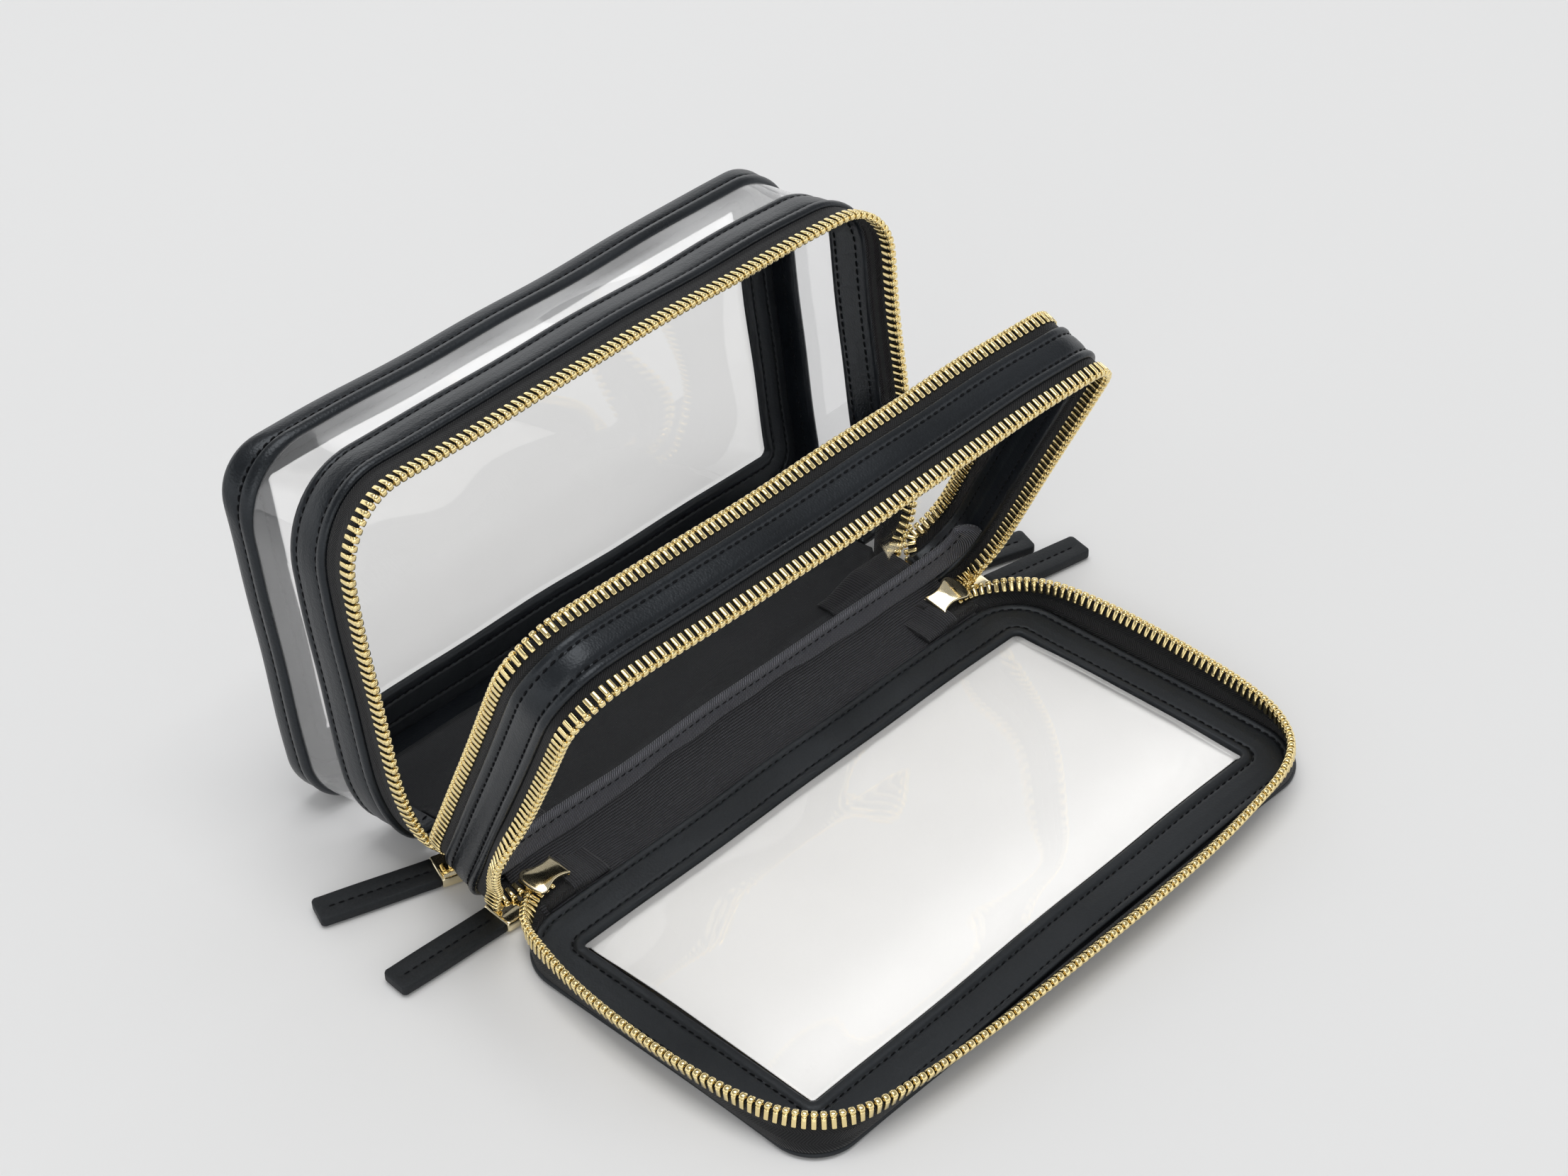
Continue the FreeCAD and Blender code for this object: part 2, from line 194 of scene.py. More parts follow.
def spline(points, n):
    """n points on a smooth curve through the points, evenly spaced."""
    points = np.asarray(points, float)
    padded = np.vstack([2 * points[0] - points[1], points, 2 * points[-1] - points[-2]])
    fine = []
    for i in range(len(points) - 1):
        a, b, c, d = padded[i:i + 4]
        for t in np.linspace(0, 1, 24, endpoint=False):
            fine.append(0.5 * (2 * b + (c - a) * t + (2 * a - 5 * b + 4 * c - d) * t * t
                               + (3 * b - a - 3 * c + d) * t ** 3))
    fine.append(points[-1])
    return even(np.array(fine), n)


def lengths(points):
    gaps = np.linalg.norm(np.diff(points, axis=0), axis=1)
    return np.concatenate([[0.0], np.cumsum(gaps)])


def at_lengths(points, where):
    total = lengths(points)
    return np.column_stack([np.interp(where, total, points[:, k]) for k in range(points.shape[1])])


def even(points, n):
    return at_lengths(points, np.linspace(0, lengths(points)[-1], n))


def unit(vectors):
    return vectors / np.maximum(np.linalg.norm(vectors, axis=-1, keepdims=True), 1e-9)


def at_depth(flat, y):
    """Points (x, z) of an outline as (x, y, z), all at one y."""
    return np.column_stack([flat[:, 0], np.full(len(flat), y), flat[:, 1]])


def across_of(ahead):
    """Directions square to these, in the plane of x and z."""
    return np.column_stack([-ahead[:, 2], 0 * ahead[:, 1], ahead[:, 0]])


def mesh_object(name, points, faces, uvs=None):
    """Object from points in mm; uvs is one (u, v) in mm for each face corner."""
    mesh = bpy.data.meshes.new(name)
    mesh.from_pydata((np.asarray(points) * MM).tolist(), [], faces)
    if uvs is not None:
        layer = mesh.uv_layers.new(name="UVMap")
        layer.data.foreach_set("uv", np.asarray(uvs, np.float32).ravel())
    mesh.polygons.foreach_set("use_smooth", [True] * len(mesh.polygons))
    made = bpy.data.objects.new(name, mesh)
    bpy.context.scene.collection.objects.link(made)
    return made


def thicken(made, thickness):
    """Give a sheet its thickness, half to each side."""
    thick = made.modifiers.new("thickness", "SOLIDIFY")
    thick.thickness = thickness * MM
    thick.offset = 0
    return made


def face_outwards(made):
    shape = bmesh.new()
    shape.from_mesh(made.data)
    bmesh.ops.recalc_face_normals(shape, faces=shape.faces)
    shape.to_mesh(made.data)
    shape.free()


def skin(name, grid, around=False, along=False, caps=False, settle=True):
    """Surface over a grid of points (rows, columns, 3).  around closes the rows, along the columns."""
    grid = soft(grid) if settle else np.asarray(grid, float)
    rows, cols = grid.shape[:2]
    u = lengths(grid.mean(axis=0))
    v = lengths(grid.mean(axis=1) if not along else grid[:, cols // 3])
    u = np.append(u, u[-1] + np.linalg.norm(grid[0, 0] - grid[0, -1]))
    v = np.append(v, v[-1] + np.linalg.norm(grid[0, 0] - grid[-1, 0]))
    faces = []
    uvs = []
    for i in range(rows if around else rows - 1):
        for j in range(cols if along else cols - 1):
            k = (i + 1) % rows
            m = (j + 1) % cols
            faces.append((i * cols + j, i * cols + m, k * cols + m, k * cols + j))
            uvs += [(u[j], v[i]), (u[j + 1], v[i]), (u[j + 1], v[i + 1]), (u[j], v[i + 1])]
    if caps:
        for j, order in ((0, 1), (cols - 1, -1)):
            faces.append(tuple(i * cols + j for i in range(rows))[::order])
            uvs += [(u[j], v[i]) for i in range(rows)][::order]
    made = mesh_object(name, grid.reshape(-1, 3), faces, uvs)
    if around:
        face_outwards(made)
    return made


def stamped(name, points, faces, places):
    """One object with a copy of a small mesh at each place: (origin, x, y, z) arrays of shape (n, 3)."""
    origin, ax, ay, az = places
    points = np.asarray(points, float)
    n = len(points)
    grid = (origin[:, None, :] + points[None, :, 0:1] * ax[:, None, :] + points[None, :, 1:2] * ay[:, None, :]
            + points[None, :, 2:3] * az[:, None, :])
    every = [tuple(i + k * n for i in face) for k in range(len(origin)) for face in faces]
    made = mesh_object(name, grid.reshape(-1, 3), every)
    face_outwards(made)
    return made


def lathe(profile, count, sy=1.0, sz=1.0):
    """Points and faces of a profile of (x, radius) turned about x; a radius of 0 is a pole."""
    points = []
    rings = []
    for x, r in profile:
        if r == 0:
            rings.append([len(points)])
            points.append((x, 0.0, 0.0))
            continue
        rings.append(list(range(len(points), len(points) + count)))
        for a in np.linspace(0, 2 * math.pi, count, endpoint=False):
            points.append((x, r * sy * math.cos(a), r * sz * math.sin(a)))
    faces = []
    for a, b in zip(rings, rings[1:]):
        for i in range(count):
            j = (i + 1) % count
            if len(a) == 1:
                faces.append((a[0], b[j], b[i]))
            elif len(b) == 1:
                faces.append((a[i], a[j], b[0]))
            else:
                faces.append((a[i], a[j], b[j], b[i]))
    return points, faces


def joined(*parts):
    """Points and faces of several (points, faces) as one."""
    points = []
    faces = []
    for some, theirs in parts:
        faces += [tuple(i + len(points) for i in face) for face in theirs]
        points += [tuple(p) for p in some]
    return points, faces


# ---- materials
class Nodes:
    """A material under construction."""

    def __init__(self, name, **sockets):
        self.material = bpy.data.materials.new(name)
        self.material.use_nodes = True
        self.tree = self.material.node_tree
        self.shader = self.tree.nodes["Principled BSDF"]
        for socket, value in sockets.items():
            self.shader.inputs[socket.replace("_", " ")].default_value = value

    def add(self, kind, settings=None, **links):
        node = self.tree.nodes.new(kind)
        for key, value in (settings or {}).items():
            setattr(node, key, value)
        for socket, value in links.items():
            which = int(socket[1:]) if socket[1:].isdigit() else socket.replace("_", " ")
            target = node.inputs[which]
            if isinstance(value, bpy.types.NodeSocket):
                self.tree.links.new(value, target)
            else:
                target.default_value = value
        return node

    def math(self, operation, a, b=0.0, c=0.0):
        return self.add("ShaderNodeMath", {"operation": operation}, _0=a, _1=b, _2=c).outputs[0]

    def position(self):
        return self.add("ShaderNodeTexCoord").outputs["Object"]

    def uv(self):
        """u and v, in mm."""
        where = self.add("ShaderNodeUVMap", {"uv_map": "UVMap"}).outputs[0]
        split = self.add("ShaderNodeSeparateXYZ", _0=where)
        return split.outputs[0], split.outputs[1]

    def noise(self, scale, detail=3.0, rough=0.5, where=None):
        return self.add("ShaderNodeTexNoise", Vector=where or self.position(), Scale=scale, Detail=detail,
                        Roughness=rough).outputs[0]

    def ramp(self, value, low, high, out_low, out_high):
        return self.add("ShaderNodeMapRange", _0=value, _1=low, _2=high, _3=out_low, _4=out_high).outputs[0]

    def colour(self, value, dark, light):
        """Colour between two, by a value from 0 to 1."""
        mix = self.add("ShaderNodeMix", {"data_type": "RGBA"})
        self.tree.links.new(value, mix.inputs["Factor"])
        mix.inputs[6].default_value = (*dark, 1)
        mix.inputs[7].default_value = (*light, 1)
        self.tree.links.new(mix.outputs[2], self.shader.inputs["Base Color"])

    def rough(self, value, low, high):
        self.tree.links.new(self.ramp(value, 0.3, 0.7, low, high), self.shader.inputs["Roughness"])

    def bump(self, height, strength, distance_mm):
        bump = self.add("ShaderNodeBump", Height=height, Strength=strength, Distance=distance_mm * MM)
        self.tree.links.new(bump.outputs[0], self.shader.inputs["Normal"])


def leather(name, dark, light, low, high, grain=0.35):
    """Fine pebbled leather: small cells, soft wrinkles, uneven polish."""
    m = Nodes(name, Specular_IOR_Level=0.45, Specular_Tint=(0.88, 0.94, 1.0, 1))
    cells = m.add("ShaderNodeTexVoronoi", {"feature": "F1"}, Vector=m.position(), Scale=1500.0)
    cells = cells.outputs["Distance"]
    fine = m.noise(900.0, 5.0, 0.6)
    wrinkle = m.noise(150.0, 3.0, 0.55)
    patch = m.noise(28.0, 2.0)
    height = m.math("ADD", m.math("MULTIPLY", cells, 0.5), m.math("MULTIPLY", fine, 0.45))
    height = m.math("ADD", height, m.math("MULTIPLY", wrinkle, 0.9))
    m.bump(height, grain, 0.16)
    m.colour(m.ramp(m.math("ADD", fine, patch), 0.75, 1.25, 0.0, 1.0), dark, light)
    m.rough(m.math("MULTIPLY_ADD", cells, 0.25, patch), low, high)
    return m.material


def woven(name, dark, light, height_of, depth_mm, strength=0.7, rough=(0.62, 0.85), shine=0.3):
    """Black cloth whose ribs come from a height made of u and v, from 0 to 1.  Its colour follows the ribs: painted
    highlight on the crests and painted shade in the grooves, with noise in the thread for uneven tone.
    """
    m = Nodes(name, Specular_IOR_Level=shine, Sheen_Weight=shine / 3, Sheen_Roughness=0.4)
    u, v = m.uv()
    rib = height_of(m, u, v)
    thread = m.noise(1600.0, 3.0, 0.7)
    m.bump(m.math("ADD", rib, m.math("MULTIPLY", thread, 0.35)), strength, depth_mm)
    # colour: painted highlight on rib crests and painted shade in the grooves, times thread noise for uneven tone
    m.colour(m.math("MULTIPLY", rib, m.ramp(thread, 0.3, 0.7, 0.6, 1.0)), dark, light)
    m.rough(thread, *rough)
    return m.material


def wave(m, value, pitch):
    """Sine from 0 to 1 with this pitch."""
    turn = m.math("SINE", m.math("MULTIPLY", value, 2 * math.pi / pitch))
    return m.math("MULTIPLY_ADD", turn, 0.5, 0.5)


def herringbone(m, u, v):
    zigzag = m.math("PINGPONG", v, 2.0)
    return wave(m, m.math("MULTIPLY_ADD", zigzag, 1.3, u), 0.85)


def long_ribs(m, u, v):
    fine = wave(m, v, 0.78)
    return m.math("MULTIPLY_ADD", wave(m, u, 0.6), 0.25, m.math("MULTIPLY", fine, 0.75))


def slant_ribs(m, u, v):
    return wave(m, m.math("MULTIPLY_ADD", v, 0.75, u), 0.8)


def plain_weave(m, u, v):
    return m.math("MULTIPLY", wave(m, u, 0.55), wave(m, v, 0.55))


def gold(name, colour, rough):
    m = Nodes(name, Metallic=1.0)
    blotch = m.noise(420.0, 3.0, 0.6)
    m.bump(m.math("ADD", m.noise(200.0, 2.0), m.math("MULTIPLY", m.noise(1500.0, 2.0), 0.1)), 0.06, 0.12)
    m.colour(blotch, [c * 0.94 for c in colour], colour)
    m.rough(blotch, *rough)
    return m.material


def clear_sheet(name, tint, rough, clarity=1.0, index=1.5):
    """Flexible clear vinyl with a faint, uneven haze.  Lamps shine through it."""
    m = Nodes(name, Transmission_Weight=clarity, IOR=index)
    haze = m.noise(22.0, 4.0, 0.6)
    m.colour(m.ramp(haze, 0.35, 0.65, 0.0, 1.0), [c * 0.985 for c in tint], tint)
    m.rough(haze, rough, rough + 0.02)
    through = m.add("ShaderNodeBsdfTransparent", Color=(*[math.sqrt(c) for c in tint], 1))
    path = m.add("ShaderNodeLightPath")
    mix = m.add("ShaderNodeMixShader", _0=path.outputs["Is Shadow Ray"], _1=m.shader.outputs[0],
                _2=through.outputs[0])
    m.tree.links.new(mix.outputs[0], m.tree.nodes["Material Output"].inputs["Surface"])
    return m.material


BAND = leather("black_leather", (0.0022, 0.0031, 0.0045), (0.0060, 0.0076, 0.0102), 0.24, 0.36, 0.55)
FRAME = leather("black_leather_frame", (0.0026, 0.0032, 0.0044), (0.0064, 0.0076, 0.0096), 0.36, 0.50)
STRAP = leather("black_leather_strap", (0.0040, 0.0043, 0.0048), (0.0100, 0.0108, 0.0120), 0.5, 0.68, 0.5)
THREAD = woven("black_thread", (0.001, 0.0012, 0.0016), (0.006, 0.0068, 0.009), slant_ribs, 0.05, shine=0.15)
TAPE = woven("zip_tape_cloth", (0.002, 0.002, 0.0025), (0.020, 0.0205, 0.022), herringbone, 0.25)
RIBBED = woven("ribbed_cloth", (0.003, 0.003, 0.004), (0.05, 0.051, 0.058), long_ribs, 0.3, 0.9)
# the binding's pale colour is a painted highlight: its ribs are painted light where the band catches light from
# above
BINDING = woven("grosgrain_binding", (0.01, 0.01, 0.013), (0.17, 0.175, 0.20), slant_ribs, 0.3, 0.8)
LINING = woven("base_lining_cloth", (0.009, 0.010, 0.012), (0.026, 0.028, 0.031), plain_weave, 0.08, 0.4,
               (0.5, 0.7))
GOLD = gold("pale_gold", (0.97, 0.79, 0.40), (0.07, 0.14))
MIRROR_GOLD = gold("mirror_gold", (0.97, 0.85, 0.58), (0.04, 0.10))
CLEAR = clear_sheet("clear_vinyl", (0.995, 0.99, 0.982), 0.0)
CLEAR_STRIP = clear_sheet("clear_vinyl_strip", (0.95, 0.95, 0.955), 0.02, 0.965, 1.6)
CLEAR_PANE = clear_sheet("clear_vinyl_divider", (0.99, 0.985, 0.975), 0.0, index=1.04)


def finish_piece(made, material, slot, body, *nodes, blend=None):
    """Material, body and hidden (replaced) nodes of a piece; slot is not used.  With blend, given as (other body,
    start, end) in mm, the piece is only baked in place and attached to no body.
    """
    made.data.materials.append(material)
    if blend:
        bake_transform(made)
    else:
        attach(made, body)
    if nodes:
        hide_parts(*nodes)
    return made


# ---- camera, floor and light
def make_camera():
    azimuth = math.radians(-45.11)
    elevation = math.radians(38.22)
    roll = math.radians(-1.72)
    right = Vector((math.cos(azimuth), math.sin(azimuth), 0))
    back = Vector((math.sin(azimuth) * math.cos(elevation), -math.cos(azimuth) * math.cos(elevation),
                   math.sin(elevation)))
    up = back.cross(right)
    rolled_right = math.cos(roll) * right + math.sin(roll) * up
    rolled_up = -math.sin(roll) * right + math.cos(roll) * up
    data = bpy.data.cameras.new("camera")
    data.sensor_width = 36.0
    data.lens = 68.18
    data.clip_start = 0.01
    camera = bpy.data.objects.new("camera", data)
    bpy.context.scene.collection.objects.link(camera)
    pose = Matrix((rolled_right, rolled_up, back)).transposed().to_4x4()
    pose.translation = Vector((-0.45353, -0.51774, 0.57136))
    camera.matrix_world = pose
    bpy.context.scene.camera = camera


def add_area(name, position, target, size, power):
    data = bpy.data.lights.new(name, "AREA")
    data.shape = "RECTANGLE"
    data.size, data.size_y = size
    data.energy = power
    lamp = bpy.data.objects.new(name, data)
    bpy.context.scene.collection.objects.link(lamp)
    lamp.location = position
    lamp.rotation_euler = (Vector(target) - Vector(position)).to_track_quat("-Z", "Y").to_euler()


def make_stage():
    """Pale floor, surroundings that are brighter low down, and soft lamps."""
    rows = [[(x, y, 0.0) for x in np.linspace(-7, 7, 5)] for y in np.linspace(-7, 7, 5)]
    floor = skin("floor", np.array(rows) / MM, settle=False)
    m = Nodes("pale_floor", Roughness=0.6, Specular_IOR_Level=0.15)
    m.colour(m.noise(3.0, 2.0), (0.82, 0.82, 0.82), (0.83, 0.83, 0.83))
    floor.data.materials.append(m.material)
    floor.location.z = -0.0003
    world = bpy.data.worlds.new("surroundings")
    world.use_nodes = True
    tree = world.node_tree
    where = tree.nodes.new("ShaderNodeTexCoord")
    height = tree.nodes.new("ShaderNodeSeparateXYZ")
    level = tree.nodes.new("ShaderNodeMapRange")
    for socket, value in enumerate((0.36, 0.50, 1.15, 0.36)):
        level.inputs[socket + 1].default_value = value
    tree.links.new(where.outputs["Generated"], height.inputs[0])
    tree.links.new(height.outputs[2], level.inputs[0])
    tree.nodes["Background"].inputs["Color"].default_value = (0.99, 0.995, 1.0, 1)
    tree.links.new(level.outputs[0], tree.nodes["Background"].inputs["Strength"])
    bpy.context.scene.world = world
    add_area("overhead", (0.15, 0.1, 3.1), (0.1, 0.1, 0), (2.4, 1.8), 44)
    add_area("low_behind_right", (1.64, 2.02, 1.12), (0, 0, 0.1), (2.6, 0.8), 3.5)
    add_area("front_left", (-1.5, -1.3, 1.3), (0, -0.05, 0.05), (0.9, 1.2), 5)
    bpy.context.scene.view_settings.view_transform = "Standard"


# ---- rims: leather bands, gusset, edges
TUB_DEPTH = [0.0, -12.0, -29.0, -44.0, -56.0]
TUB_CORNERS = [                       # lower left, upper left, upper right, lower right, at each depth
    [(16, 16), (15, 15), (15, 15), (16, 16)],
    [(16, 18), (24, 24), (20, 20), (16, 18)],
    [(15, 24), (26, 26), (21, 21), (15, 24)],
    [(13, 30), (24, 24), (20, 20), (13, 30)],
    [(12, 33), (22, 22), (19, 19), (12, 33)],
]
DIVIDER_DEPTH = [-14.0, -6.2, 6.2, 14.0]
DIVIDER_CORNERS = [
    [(15, 22), (15, 15), (12, 12), (15, 22)],
    [(16, 20), (16, 16), (13, 13), (16, 20)],
    [(16, 18), (18, 18), (14, 14), (16, 18)],
    [(15, 17), (19, 19), (15, 15), (15, 17)],
]


def corners_at(depths, corners, y):
    table = np.array(corners, float)
    order = np.argsort(depths)
    found = [[np.interp(y, np.array(depths)[order], table[order, i, k]) for k in range(2)] for i in range(4)]
    return [tuple(c) for c in found]


def rim_line(panel, shape, y, d, end=RIM_END):
    """One line round a rim at depth y and outward offset d: its points and outward normals, unsettled."""
    depths, corners = shape
    points, out = outline(HALF, 0.0, HEIGHT, corners_at(depths, corners, y), end)
    return panel.place(at_depth(points + out * d, y)), panel.turn(at_depth(out, 0.0))


def smooth_section(points, n):
    """Closed section of (y, d) points, rounded a little between them."""
    points = np.array(points, float)
    loop = np.vstack([points, points[:1]])
    dense = even(loop, n + 1)[:-1]
    return 0.16 * np.roll(dense, 1, axis=0) + 0.68 * dense + 0.16 * np.roll(dense, -1, axis=0)


def rim_band(name, panel, shape, section, n=72, end=RIM_END):
    """Strip of this closed section swept round a rim."""
    rows = [rim_line(panel, shape, y, d, end)[0] for y, d in smooth_section(section, n)]
    return skin(name, np.array(rows), around=True, along=end is None, caps=end is not None)


TUB = (TUB_DEPTH, TUB_CORNERS)
DIVIDER = (DIVIDER_DEPTH, DIVIDER_CORNERS)

REAR_SECTION = [(0.0, -2.9), (-0.2, -1.8), (-0.9, -0.8), (-2.0, -0.1), (-3.6, 0.25), (-5.4, 0.25), (-6.8, 0.05),
                (-7.3, -0.45), (-7.8, 0.0), (-8.5, 0.5), (-9.8, 0.65), (-11.0, 0.3), (-11.9, -0.5), (-12.0, -1.5),
                (-11.2, -2.4), (-6.0, -2.5)]
FRONT_SECTION = [(-28.3, -1.6), (-28.1, -0.6), (-28.7, 0.0), (-29.8, 0.3), (-30.8, 0.15), (-31.3, -0.4),
                 (-31.8, 0.1), (-34.5, 0.35), (-37.5, 0.3), (-39.4, 0.05), (-39.9, -0.4), (-40.4, 0.1),
                 (-41.2, 0.75), (-42.4, 0.95), (-43.4, 0.65), (-44.0, 0.0), (-44.0, -1.2), (-43.0, -2.2),
                 (-36.0, -2.3), (-30.0, -2.2)]
DIVIDER_SECTION = [(6.2, -1.6), (6.3, -0.4), (5.8, 0.3), (4.6, 0.5), (3.7, 0.2), (3.3, -0.35), (2.9, 0.1),
                   (1.2, 0.35), (-1.4, 0.35), (-2.9, 0.05), (-3.3, -0.4), (-3.7, 0.15), (-4.5, 0.7), (-5.6, 0.7),
                   (-6.3, 0.1), (-6.3, -1.2), (-5.4, -2.2), (0.0, -2.4), (5.4, -2.2)]


def gusset_grid():
    """Both faces of the clear strip between the tub's bands, with a slow ripple in it."""
    rows = []
    for d0, depths in ((-0.75, np.linspace(-10.5, -31.0, 16)), (-1.35, np.linspace(-31.0, -10.5, 16))):
        for y in depths:
            line, out = rim_line(tub, TUB, y, d0)
            k = np.arange(len(line))
            belly = math.sin(math.pi * np.clip((-10.5 - y) / 20.5, 0, 1))
            ripple = 0.07 * np.sin(k / 7.5) + 0.03 * np.sin(k / 3.7 + y / 7)
            rows.append(line + out * (belly * (ripple - 0.15))[:, None])
    return np.array(rows)


# ---- stitches
def stitch_shape():
    profile = [(-1.0, 0), (-0.9, 0.12), (-0.6, 0.22), (0.0, 0.25), (0.6, 0.22), (0.9, 0.12), (1.0, 0)]
    points, faces = lathe(profile, 6)
    points = [(x, y, z - 0.28 * (x / 1.1) ** 4) for x, y, z in points]
    return points, faces


def stitch_places(line, normals, skew=0.12):
    """Places of the stitches along a settled line, with the surface's normals."""
    total = lengths(line)
    where = np.arange(STITCH_PITCH / 2, total[-1], STITCH_PITCH)
    origin = at_lengths(line, where)
    after, before = np.minimum(where + 0.6, total[-1]), np.maximum(where - 0.6, 0)
    ahead = unit(at_lengths(line, after) - at_lengths(line, before))
    up = np.column_stack([np.interp(where, total, normals[:, k]) for k in range(3)])
    up = unit(up - (up * ahead).sum(axis=1)[:, None] * ahead)
    side = np.cross(up, ahead)
    tilted = unit(ahead + skew * side)
    return origin, tilted, np.cross(up, tilted), up


def stitches(name, lines, body, blend=None):
    """All the stitches that ride on one body, as one piece.  lines are (line, normals), unsettled."""
    found = [stitch_places(soft(line), normals) for line, normals in lines]
    places = [np.vstack([f[k] for f in found]) for k in range(4)]
    points, faces = stitch_shape()
    made = stamped(name, points, faces, places)
    return finish_piece(made, THREAD, "black_fabric", body, blend=blend)


# ---- frames round the windows
def frame_line(panel, face, f, y, corner, window_z):
    """Line round a window frame: f from 0 at the outer edge to 1 at the window."""
    inset, outer = face
    low = inset + (window_z - inset) * f
    high = HEIGHT - inset + (window_z + WINDOW_H - HEIGHT + inset) * f
    half = HALF - inset + (WINDOW_HALF - HALF + inset) * f
    r = [(c[0] + (corner - c[0]) * f, c[1] + (corner - c[1]) * f) for c in outer]
    points, _ = outline(half, low, high, r)
    closed = np.vstack([points, points[:1]])
    return panel.place(at_depth(closed, y))


WIDE = 14.0                   # mm across a window frame, to space its section evenly


def window_frame(name, panel, face, section, corner, window_z):
    wide = np.array(section) * [WIDE, 1]
    section = smooth_section(wide, 96) / [WIDE, 1]
    rows = [frame_line(panel, face, f, y, corner, window_z)[:-1] for f, y in section]
    return skin(name, np.array(rows), around=True, along=True)


LID_FACE = (0.0, [(18, 18), (14, 14), (16, 16), (18, 18)])
LID_SECTION = [(0.0, 0.6), (0.0, 1.5), (0.02, 1.75), (0.05, 1.8), (0.06, 2.1), (0.06, 3.0), (0.075, 3.4),
               (0.10, 3.5),
               (0.18, 3.35), (0.215, 2.85), (0.25, 3.2), (0.5, 3.35),
               (0.74, 3.2), (0.775, 2.8), (0.81, 3.3), (0.86, 3.6), (0.95, 3.6), (0.995, 3.2), (1.0, 2.4),
               (1.0, 0.7), (0.97, 0.25), (0.5, 0.05), (0.06, 0.1)]
BACK_FACE = (1.9, [(15, 15), (14, 14), (14, 14), (15, 15)])
BACK_SECTION = [(0.0, -0.1), (0.0, -2.6), (0.1, -3.0), (0.30, -2.95), (0.335, -2.55), (0.37, -2.95), (0.55, -3.0),
                (0.72, -2.95), (0.755, -2.5), (0.79, -3.1), (0.85, -3.6), (0.95, -3.6), (1.0, -3.1), (1.0, -1.8),
                (1.0, -0.4), (0.96, -0.05), (0.86, 0.1), (0.6, 0.15), (0.3, 0.1)]


def pane(name, panel, y, columns, thickness=0.6, swell=0.8, seed=0.0):
    """Clear sheet; columns are (x, lowest z, highest z).  It has shallow dents and a slow swell."""
    grid = []
    for k in np.linspace(0, 1, 30):
        row = []
        for x, z0, z1 in columns:
            z = z0 + (z1 - z0) * k
            edge = min(1.0, 6 * k, 6 * (1 - k), (HALF - abs(x)) / 14)
            dent = math.sin(x / 27 + z / 19 + seed) + 0.6 * math.sin(x / 13 - z / 24 + 2 * seed)
            dent += 0.35 * math.sin(x / 9 + z / 8 + 3 * seed)
            row.append((x, y + swell * edge * dent / 2, z))
        grid.append(row)
    return thicken(skin(name, panel.place(np.array(grid))), thickness)


def window_columns(z0, margin=1.2):
    xs = np.linspace(-WINDOW_HALF - margin, WINDOW_HALF + margin, 56)
    return [(x, z0 - margin, z0 + WINDOW_H + margin) for x in xs]


def divider_columns():
    """Columns of the divider's sheet: up to its band, and down to the binding."""
    inset = 1.8
    (blx, blz), (tlx, tlz), (trx, trz), _ = corners_at(*DIVIDER, 0.0)
    half = HALF - inset
    columns = []
    for x in np.linspace(-half, half, 64):
        rx, rz = (tlx, tlz) if x < 0 else (trx, trz)
        over = max(0.0, (abs(x) - half + rx) / rx)
        top = HEIGHT - inset - rz + rz * math.sqrt(max(0.0, 1 - over * over))
        over = max(0.0, (abs(x) - half + blx) / blx)
        low = inset + blz - blz * math.sqrt(max(0.0, 1 - over * over))
        columns.append((x, max(low, 7.0), top))
    return columns


# ---- zips
def loft(rings, ends=True):
    """Points and faces through rings of points, with the first and last closed by a face."""
    n = len(rings[0])
    points = [tuple(p) for ring in rings for p in ring]
    faces = [(k * n + i, k * n + (i + 1) % n, k * n + n + (i + 1) % n, k * n + n + i)
             for k in range(len(rings) - 1) for i in range(n)]
    if ends:
        faces += [tuple(range(n - 1, -1, -1)), tuple(range(len(points) - n, len(points)))]
    return points, faces


def tooth_shape():
    """Zip tooth: x along the zip, y through the tape, z out of it; the tape's edge is at z = 0."""
    profile = [(-0.48, 0), (-0.52, 0.34), (-0.78, 0.5), (-0.84, 0.72), (-0.7, 0.93), (-0.3, 1.0), (0.3, 1.0),
               (0.68, 0.92), (0.84, 0.66), (0.88, 0.4), (1.0, 0.26), (1.06, 0)]
    head, faces = lathe(profile, 12, 1.2, 0.8)
    parts = [([(x, y, z + 0.68) for x, y, z in head], faces)]
    for side in (-1, 1):
        rings = []
        for z, grow in ((-3.1, 0.6), (-3.0, 0.85), (-2.7, 1.0), (-0.3, 1.0), (0.25, 0.92)):
            w = 0.66 * (0.5 + grow / 2)
            outer = 0.42 + 0.8 * grow
            ring = [(-w, 0.42), (w, 0.42), (w, outer - 0.14), (w - 0.14, outer), (0.14 - w, outer),
                    (-w, outer - 0.14)]
            rings.append([(x, side * y, z) for x, y in ring])
        parts.append(loft(rings))
    return joined(*parts)


